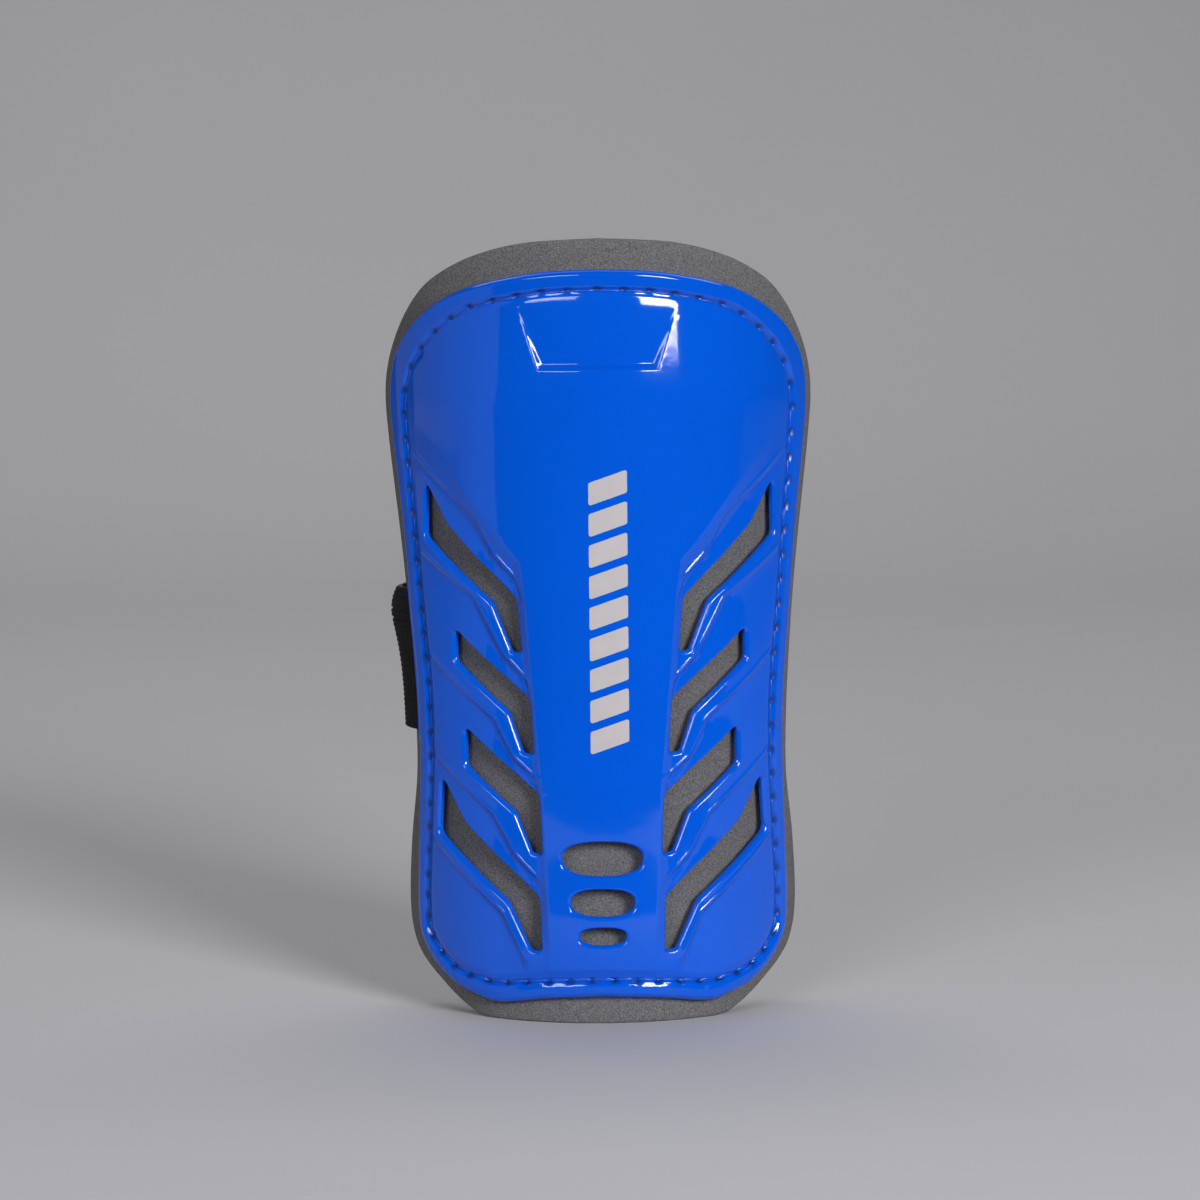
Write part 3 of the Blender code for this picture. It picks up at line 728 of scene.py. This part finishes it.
def makeSheet(name, loop, form, front, thickness):
    # A sheet cut to the loop, rolled onto the taper and softened at its edges
    fill = latticePoints(loop, form["fill"], guardForm["padHalfArc"])
    fill = fill[signedDistance(fill, loop) > form["fill"] * form["spare"]]
    flat, faces = cutFlat([loop], [], fill)
    count = len(flat)
    verts = np.vstack([roll(flat, np.full(count, rise)) for rise in (front, front - thickness)])
    allFaces = [tuple(f) for f in faces] + [tuple(count + i for i in f[::-1]) for f in faces]
    allFaces += [(b, a, a + count, b + count) for a, b in openEdges(faces)]
    sheet = newMesh(name, verts, allFaces)
    addModifier(sheet, "BEVEL", width=form["softEdge"] * mm, segments=form["segments"],
                limit_method="ANGLE", angle_limit=math.radians(50), harden_normals=False)
    return sheet


def makePad():
    form = padDrawing
    curve = splineThrough([onPad(*mark) for mark in form["outline"]])
    foot = np.array([[form["foot"] * guardForm["padHalfArc"], 0.0], [0.0, 0.0]])
    half = np.vstack([spreadAlong(line, form["edgeStep"]) for line in (curve, foot)])
    return makeSheet("foamPad", bothSides(half), form, 0.0, guardForm["padThickness"])


# The strap of woven elastic
strapForm = {
    "bottom": 69.5, "width": 35.0, "thickness": 1.6, "tuck": 2.2, "onPad": 5.0, "bulge": 28.0,
    "depth": 40.0, "backReach": 30.0, "returnBulge": 24.0, "lap": 30.0, "bendSteps": 48,
    "cords": 29, "cordDepth": 0.22, "rowsPerCord": 5, "roundFrom": (0.97, 0.03), "thinEnd": 0.35,
    "lean": -2.6, "curlHeight": 7.2, "curl": 4.6, "curlShare": 0.97, "swell": 2.8,
    "swellHeight": 10.0, "swellWays": (5, 1.6), "sewn": (26.6, 29.0), "sewnDepth": 0.35,
    "sewnWidth": 0.4,
}

# The hook-and-loop patch on the pad's inner face
tabForm = {
    "border": 2.5, "lapMargin": 4.0, "thickness": 1.5,
    "fill": 1.5, "spare": 0.5, "softEdge": 0.3, "segments": 2,
}


def shellHalfWidth(up):
    return np.interp(up, *halfWidths(shellLoop))


def strapShift(up):
    # How far the strap's left bend moves out: it swells below its upper edge and curls in at the edge
    form = strapForm
    shoulder = form["bottom"] + form["width"] - form["curlHeight"]
    below = max(0.0, shoulder - up) / form["swellHeight"]
    above = min(1.0, max(0.0, up - shoulder) / form["curlHeight"])
    curl = form["curl"] * (1 - math.sqrt(1 - form["curlShare"] * above ** 2))
    return form["lean"] + form["swell"] * math.exp(-below ** 1.5) - curl


def strapPath(up):
    form = strapForm
    half = form["thickness"] / 2
    middle = guardForm["gap"] + half
    lapRise = -guardForm["padThickness"] - 2 * guardForm["gap"] - tabForm["thickness"] - half
    edge = float(shellHalfWidth(up))
    radius = padRadius(up)
    start, length = form["tuck"] - edge, form["tuck"] + form["onPad"]
    tuck = np.array([[start - length * i / 8, up] for i in range(9)])
    path = [Vector(p) for p in roll(tuck, np.full(9, middle))]
    leaveAngle = tuck[-1][0] / radius
    leave, leaveWay = path[-1], Vector((-math.cos(leaveAngle), -math.sin(leaveAngle), 0))
    lap = np.array([[edge - form["lap"] * i / 20, up] for i in range(21)])
    inward = [Vector(p) for p in roll(lap, np.full(21, lapRise))]
    enter, enterWay = inward[0], Vector((math.cos(edge / radius), math.sin(edge / radius), 0))
    backDepth = roll(np.array([[edge, up]]), np.zeros(1))[0][1] + form["depth"] * mm
    back, backWay = Vector((0, backDepth, up * mm)), Vector((form["backReach"] * mm, 0, 0))
    left = (leave, leave + leaveWay * form["bulge"] * mm, back - backWay, back)
    right = (back, back + backWay, enter + enterWay * form["returnBulge"] * mm, enter)
    shift = strapShift(up)
    leaving, arriving = form["swellWays"]
    for a, b, c, d in (left, right):
        for i in range(1, form["bendSteps"] + 1):
            t = i / form["bendSteps"]
            u = 1 - t
            place = a * u ** 3 + b * (3 * u * u * t) + c * (3 * u * t * t) + d * t ** 3
            share = float(smoothStep(t * leaving) * smoothStep(u * arriving)) if d is back else 0.0
            path.append(place - Vector((shift * share * mm, 0, 0)))
    return path[:-1] + inward


def makeStrap():
    form = strapForm
    rowCount = form["cords"] * form["rowsPerCord"] + 1
    start, span = form["roundFrom"]
    rows = []
    for row in range(rowCount):
        share = row / (rowCount - 1)
        path = strapPath(form["bottom"] + form["width"] * share)
        cord = abs(math.sin(math.pi * share * form["cords"]))
        atEnd = max(0.0, abs(share - 0.5) * 2 - start) / span
        endRound = min(1.0, math.sqrt(max(0.0, 1 - atEnd ** 2)))
        thinned = form["thinEnd"] + (1 - form["thinEnd"]) * endRound
        half = (form["thickness"] / 2 - form["cordDepth"] * (1 - cord)) * thinned * mm
        half -= sum(form["sewnDepth"] * mm
                    * math.exp(-((form["width"] * share - line) / form["sewnWidth"]) ** 2)
                    for line in form["sewn"])
        inner, outer = [], []
        for index, point in enumerate(path):
            way = path[min(index + 1, len(path) - 1)] - path[max(index - 1, 0)]
            side = Vector((way.y, -way.x, 0)).normalized() * half
            outer.append(point - side)
            inner.append(point + side)
        rows.append(outer + inner[::-1])
    around = len(rows[0])
    verts = [tuple(p) for row in rows for p in row]
    faces = []
    for row in range(rowCount - 1):
        for index in range(around):
            ahead = (index + 1) % around
            low, high = row * around, (row + 1) * around
            faces.append((low + index, high + index, high + ahead, low + ahead))
    top = (rowCount - 1) * around
    for index in range(around // 2 - 1):
        other = around - 1 - index
        faces.append((index, index + 1, other - 1, other))
        faces.append((top + other, top + other - 1, top + index + 1, top + index))
    strap = newMesh("elasticStrap", verts, faces)
    uv = strap.data.uv_layers.new(name="weave")
    length = [0.0]
    middlePath = strapPath(form["bottom"] + form["width"] / 2)
    for a, b in zip(middlePath, middlePath[1:]):
        length.append(length[-1] + (b - a).length)
    alongs = length + length[::-1]
    for loop in strap.data.loops:
        row, index = divmod(loop.vertex_index, around)
        uv.data[loop.index].uv = (alongs[index], row / (rowCount - 1) * form["width"] * mm)
    return strap


def makeTab():
    form = tabForm
    low = strapForm["bottom"] + form["border"]
    high = strapForm["bottom"] + strapForm["width"] - form["border"]
    heights = np.linspace(low, high, 24)
    widths = shellHalfWidth(heights)
    inner = np.column_stack([widths - strapForm["lap"] + form["lapMargin"], heights])
    outer = np.column_stack([widths - form["border"], heights])[::-1]
    loop = spreadAlong(np.vstack([inner, outer]), form["fill"], closed=True)[::-1]
    front = -guardForm["padThickness"] - guardForm["gap"]
    return makeSheet("hookLoopTab", loop, form, front, form["thickness"])


# The seam's stitches, one modelled and laid along the seam
seamForm = {"thread": 0.68, "height": 0.48, "end": 0.45, "sink": 0.12, "dive": 0.5, "longest": 9}


def makeSeam():
    form = seamForm
    bpy.ops.object.select_all(action="DESELECT")
    bpy.ops.mesh.primitive_uv_sphere_add(segments=10, ring_count=8, radius=0.5)
    model = bpy.context.object
    unit = np.array([tuple(v.co) for v in model.data.vertices])
    shape = [tuple(p.vertices) for p in model.data.polygons]
    bpy.data.objects.remove(model, do_unlink=True)
    verts, faces = [], []
    for start, end in zip(needleHoles, np.roll(needleHoles, -1, axis=0)):
        gap = end - start
        span = np.hypot(*gap)
        if span > form["longest"]:   # the seam's open end
            continue
        way = gap / span
        across = np.array([-way[1], way[0]])
        along = unit[:, 0] * (span - form["end"])
        flat = (start + end) / 2 + along[:, None] * way
        flat = flat + (unit[:, 1] * form["thread"])[:, None] * across
        dive = form["dive"] * (np.abs(unit[:, 0]) * 2) ** 4
        rise = shellRelief["crease"] - dive + form["height"] / 2 - form["sink"]
        rise = rise + unit[:, 2] * form["height"]
        first = len(verts)
        verts += [tuple(p) for p in roll(flat, rise)]
        faces += [tuple(first + i for i in face) for face in shape]
    return newMesh("seamThread", verts, faces)


# The pale print down the middle: plain slanted bars
printForm = {
    "top": 133.5, "bottom": 68.0, "middle": 1.9, "halfWidth": 4.25, "bars": 9, "gap": 2.0,
    "slant": 1.6, "corner": 0.5, "lift": 0.05, "step": 0.8, "spare": 0.3,
}


def makePrint():
    form = printForm
    verts, faces = [], []
    pitch = (form["top"] - form["bottom"] + form["gap"]) / form["bars"]
    for bar in range(form["bars"]):
        low = form["bottom"] + bar * pitch
        high = low + pitch - form["gap"]
        half, slant, corner = form["halfWidth"], form["slant"], form["corner"]
        corners = [(form["middle"] + side * half, up + side * slant, corner)
                   for side, up in ((1, low), (-1, low), (-1, high), (1, high))]
        loop = spreadAlong(turnedCorners(corners, 5), form["step"] / 2, closed=True)
        fill = latticePoints(loop, form["step"], 20)
        flat, cut = cutFlat([loop], [], fill[signedDistance(fill, loop) > form["spare"]])
        first = len(verts)
        verts += [tuple(p) for p in roll(flat, relief(flat) + form["lift"])]
        faces += [tuple(first + i for i in f) for f in cut]
    return newMesh("palePrint", verts, faces)


# Materials

def linear(code):
    channels = [int(code[i:i + 2], 16) / 255 for i in (1, 3, 5)]
    return [c / 12.92 if c <= 0.04045 else ((c + 0.055) / 1.055) ** 2.4 for c in channels] + [1.0]


def startMaterial(name):
    material = bpy.data.materials.new(name)
    material.use_nodes = True
    return material, material.node_tree, material.node_tree.nodes["Principled BSDF"]


def setNode(node, settings, links=None):
    for key, value in (settings or {}).items():
        if hasattr(node, key):
            setattr(node, key, value)
        else:
            node.inputs[key].default_value = value
    for key, source in (links or {}).items():
        node.id_data.links.new(source, node.inputs[key])
    return node


def addNode(tree, kind, settings=None, links=None):
    return setNode(tree.nodes.new(kind), settings, links)


def finish(shader, settings, tone, dark, light, bump=None, height=None):
    # One texture's value blends the two colours, and the same value or another one raises the bump
    tree = shader.id_data
    blend = addNode(tree, "ShaderNodeMix", {"data_type": "RGBA", "A": linear(dark), "B": linear(light)},
                    {"Factor": tone})
    links = {"Base Color": blend.outputs["Result"]}
    if bump:
        links["Normal"] = addNode(tree, "ShaderNodeBump", bump, {"Height": height or tone}).outputs["Normal"]
    setNode(shader, settings, links)


def shellPvc():
    # Moulded PVC from a polished tool: deep even blue under a wet gloss, with the faint waviness that
    # soft plastic keeps as it cools, so that lights bend a little as they cross it
    material, tree, shader = startMaterial("mouldedPvc")
    place = addNode(tree, "ShaderNodeTexCoord").outputs["Object"]
    cloud = addNode(tree, "ShaderNodeTexNoise", {"Scale": 1 / 0.030, "Detail": 2.0}, {"Vector": place})
    blue = addNode(tree, "ShaderNodeMix",
                   {"data_type": "RGBA", "A": linear("#0151cb"), "B": linear("#0257d3")},
                   {"Factor": cloud.outputs["Fac"]})
    # Painted shade: the blue darkens to navy at each needle hole, standing in for the shade in the sunken
    # puckers, and the plastic is made rougher there
    holeShade = addNode(tree, "ShaderNodeAttribute", {"attribute_name": "pucker"}).outputs["Fac"]
    dark = addNode(tree, "ShaderNodeMix", {"data_type": "RGBA", "B": linear("#01184a")},
                   {"Factor": holeShade, "A": blue.outputs["Result"]})
    dull = addNode(tree, "ShaderNodeMapRange", {"To Min": 0.06, "To Max": 0.35}, {"Value": holeShade})
    wave = addNode(tree, "ShaderNodeTexNoise", {"Scale": 1 / 0.007, "Detail": 1.0}, {"Vector": place})
    bump = addNode(tree, "ShaderNodeBump", {"Strength": 0.06, "Distance": 0.0004},
                   {"Height": wave.outputs["Fac"]})
    setNode(shader, {"IOR": 1.53, "Subsurface Weight": 0.06, "Subsurface Scale": 0.002},
            {"Base Color": dark.outputs["Result"], "Roughness": dull.outputs["Result"],
             "Normal": bump.outputs["Normal"]})
    return material


def padFoam():
    # Closed-cell EVA foam, skived: chalky mid grey, peppered by cut cells a third of a millimetre wide
    material, tree, shader = startMaterial("evaFoam")
    place = addNode(tree, "ShaderNodeTexCoord").outputs["Object"]
    cells = addNode(tree, "ShaderNodeTexVoronoi", {"Scale": 1 / 0.0003}, {"Vector": place})
    grain = addNode(tree, "ShaderNodeTexNoise", {"Scale": 1 / 0.00035, "Detail": 2.0}, {"Vector": place})
    blend = addNode(tree, "ShaderNodeMath", {"operation": "MULTIPLY_ADD"},
                    {0: cells.outputs["Distance"], 2: grain.outputs["Fac"]})
    blend.inputs[1].default_value = 0.5
    tone = addNode(tree, "ShaderNodeValToRGB", None, {"Fac": blend.outputs["Value"]})
    for stop, mark, grey in zip(tone.color_ramp.elements, (0.45, 1.0), ("#403f41", "#757476")):
        stop.position, stop.color = mark, linear(grey)
    bump = addNode(tree, "ShaderNodeBump", {"Strength": 0.35, "Distance": 0.00025},
                   {"Height": blend.outputs["Value"]})
    setNode(shader, {"Roughness": 0.92, "Specular IOR Level": 0.25},
            {"Base Color": tone.outputs["Color"], "Normal": bump.outputs["Normal"]})
    return material


def strapElastic():
    # Woven elastic, black polyester over rubber cords: the cords are modelled, and the wefts that
    # cross them every 0.8 mm are bump, which breaks its dull sheen into short dashes
    material, tree, shader = startMaterial("wovenElastic")
    uv = addNode(tree, "ShaderNodeUVMap", {"uv_map": "weave"}).outputs["UV"]
    weft = addNode(tree, "ShaderNodeTexWave", {"Scale": 1 / 0.0008 / 6.2832, "Distortion": 1.2,
                                               "Detail": 1.0, "bands_direction": "X"}, {"Vector": uv})
    fuzz = addNode(tree, "ShaderNodeTexNoise", {"Scale": 1 / 0.0012, "Detail": 3.0}, {"Vector": uv})
    finish(shader, {"Roughness": 0.85, "Specular IOR Level": 0.15}, fuzz.outputs["Fac"],
           "#141315", "#242325", {"Strength": 0.5, "Distance": 0.00025}, weft.outputs["Fac"])
    return material


def tabHooks():
    # Nylon hook tape: dull black, pimpled by hooks 1 mm apart
    material, tree, shader = startMaterial("hookTape")
    place = addNode(tree, "ShaderNodeTexCoord").outputs["Object"]
    hooks = addNode(tree, "ShaderNodeTexVoronoi", {"Scale": 1 / 0.001, "Randomness": 0.25}, {"Vector": place})
    finish(shader, {"Roughness": 0.75, "Specular IOR Level": 0.35}, hooks.outputs["Distance"],
           "#2c2b2e", "#161518", {"Strength": 0.7, "Distance": 0.0004, "invert": True})
    return material


def seamNylon():
    # Bonded nylon thread, twisted: the blue of the plastic that it sinks into, with a soft shine
    material, tree, shader = startMaterial("nylonThread")
    place = addNode(tree, "ShaderNodeTexCoord").outputs["Object"]
    twist = addNode(tree, "ShaderNodeTexNoise", {"Scale": 1 / 0.0008, "Detail": 2.0}, {"Vector": place})
    finish(shader, {"Roughness": 0.3}, twist.outputs["Fac"], "#0a40a8", "#1856c4",
           {"Strength": 0.4, "Distance": 0.0002})
    return material


def printInk():
    # Pad-printed ink: pale grey and a little less glossy than the plastic under it
    material, tree, shader = startMaterial("padPrintInk")
    place = addNode(tree, "ShaderNodeTexCoord").outputs["Object"]
    patchy = addNode(tree, "ShaderNodeTexNoise", {"Scale": 1 / 0.004, "Detail": 4.0}, {"Vector": place})
    finish(shader, {"Roughness": 0.3}, patchy.outputs["Fac"], "#b0acb0", "#bcb8bb")
    return material


def studioGrey():
    # Seamless studio paper: flat pale grey with a trace of tooth
    material, tree, shader = startMaterial("studioPaper")
    place = addNode(tree, "ShaderNodeTexCoord").outputs["Object"]
    tooth = addNode(tree, "ShaderNodeTexNoise", {"Scale": 1 / 0.2, "Detail": 2.0}, {"Vector": place})
    finish(shader, {"Roughness": 0.8, "Specular IOR Level": 0.2}, tooth.outputs["Fac"],
           "#c4c3c6", "#c8c7ca")
    return material


def dress(piece, material, node=None):
    piece.data.materials.clear()
    piece.data.materials.append(material)
    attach(piece, "root")
    if node:
        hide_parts(node)
    triangles = sum(len(p.vertices) - 2 for p in piece.data.polygons)
    print(piece.name, "triangles", triangles)


# The studio, in metres, and the camera, whose height over the middle and elevation follow the photo
studioForm = {
    "floorHalf": 3.0, "floorFront": 0.27, "wallBehind": 1.1, "bend": 0.5, "wallHeight": 3.0,
    "distance": 1.0, "elevation": 6.0, "focal": 125.4, "aimAbove": 8.35, "roll": 0.55,
}


def makeStudio():
    form = studioForm
    bpy.ops.object.select_all(action="DESELECT")
    bpy.ops.mesh.primitive_grid_add(x_subdivisions=2, y_subdivisions=64, size=1)
    floor = bpy.context.object
    floor.name = "studioSweep"
    flatEnd, quarter = form["wallBehind"], form["bend"] * math.pi / 2
    reach = flatEnd + form["floorFront"] + quarter + form["wallHeight"]
    for v in floor.data.vertices:
        run = (v.co.y + 0.5) * reach - form["floorFront"]
        if run <= flatEnd:
            y, z = run, 0.0
        elif run <= flatEnd + quarter:
            angle = (run - flatEnd) / form["bend"]
            y, z = flatEnd + form["bend"] * math.sin(angle), form["bend"] * (1 - math.cos(angle))
        else:
            y, z = flatEnd + form["bend"], form["bend"] + run - flatEnd - quarter
        v.co = (v.co.x * 2 * form["floorHalf"], y, z)
    floor.data.shade_smooth()
    floor.data.materials.append(studioGrey())


def addLight(name, place, target, size, power, spread=180):
    data = bpy.data.lights.new(name, "AREA")
    data.shape = "RECTANGLE"
    data.size, data.size_y = size
    data.energy = power
    data.spread = math.radians(spread)
    light = bpy.data.objects.new(name, data)
    light.location = place
    light.rotation_euler = (Vector(target) - Vector(place)).to_track_quat("-Z", "Y").to_euler()
    light.visible_camera = False   # so that no lamp stands in a view from another side
    scene.collection.objects.link(light)
    return light


# Lights stand round the guard's middle: turn is degrees to the camera's right, lift is degrees up.
# The paper ends just in front of the guard, so the shell's middle mirrors a dark room.
lightForm = {
    "rightBox": {"turn": 31, "lift": 17.4, "reach": 1.5, "size": (0.5, 0.5),
                 "power": 4.1, "spread": 80},
    "leftBox": {"turn": -24, "lift": 20, "reach": 1.5, "size": (0.7, 0.42),
                "power": 1.5, "spread": 80},
    "leftCard": {"turn": -82, "lift": 2, "reach": 1.3, "size": (1.6, 1.6), "power": 2.2},
    "overheadBox": {"turn": 180, "lift": 66, "reach": 1.6, "size": (1.8, 1.0), "power": 5},
    "backdropBox": {"turn": 180, "lift": 60, "reach": 1.8, "size": (2.4, 0.6), "power": 8},
    "behindBox": {"turn": 180, "lift": 12, "reach": 1.2, "size": (0.5, 0.4),
                  "power": 1.1, "spread": 80},
}


def makeLights():
    middle = Vector((0, frontOfPad, 0.11))
    for name, form in lightForm.items():
        turn, lift = math.radians(form["turn"]), math.radians(form["lift"])
        way = Vector((math.sin(turn) * math.cos(lift), -math.cos(turn) * math.cos(lift),
                      math.sin(lift)))
        target = Vector((0, 1.2, 0.5)) if name == "backdropBox" else middle
        light = addLight(name, middle + way * form["reach"], target, form["size"], form["power"],
                         form.get("spread", 180))
        if name == "behindBox":   # it shows the pad's back and is kept off the paper
            lit = bpy.data.collections.new("litFromBehind")
            for piece in (shell, pad, strap, tab):
                lit.objects.link(piece)
            light.light_linking.receiver_collection = lit
    world = bpy.data.worlds.new("studioAir")
    world.use_nodes = True
    setNode(world.node_tree.nodes["Background"], {"Color": linear("#c8c8cc"), "Strength": 0.03})
    scene.world = world


def makeCamera():
    form = studioForm
    half = guardForm["height"] / 2 * mm
    tilt = math.radians(form["elevation"])
    data = bpy.data.cameras.new("photoCamera")
    data.lens = form["focal"]
    data.sensor_width = 36
    camera = bpy.data.objects.new("photoCamera", data)
    camera.location = (0, frontOfPad - form["distance"], half + form["distance"] * math.tan(tilt))
    aim = Vector((0, frontOfPad, half + form["aimAbove"] * mm))
    turn = (aim - camera.location).to_track_quat("-Z", "Y")
    camera.rotation_euler = turn.to_euler()
    camera.rotation_euler.rotate_axis("Z", math.radians(-form["roll"]))
    scene.collection.objects.link(camera)
    scene.camera = camera


print("stage: shell")
shell = makeShell()
dress(shell, shellPvc(), "shell")
print("stage: pad, strap and tab")
pad = makePad()
dress(pad, padFoam(), "foam_pad")
strap = makeStrap()
dress(strap, strapElastic(), "elastic_strap")
tab = makeTab()
dress(tab, tabHooks(), "fastening_tab")
print("stage: seam and print")
dress(makeSeam(), seamNylon())
dress(makePrint(), printInk())
print("stage: studio")
makeStudio()
makeLights()
makeCamera()
scene.view_settings.view_transform = "Standard"
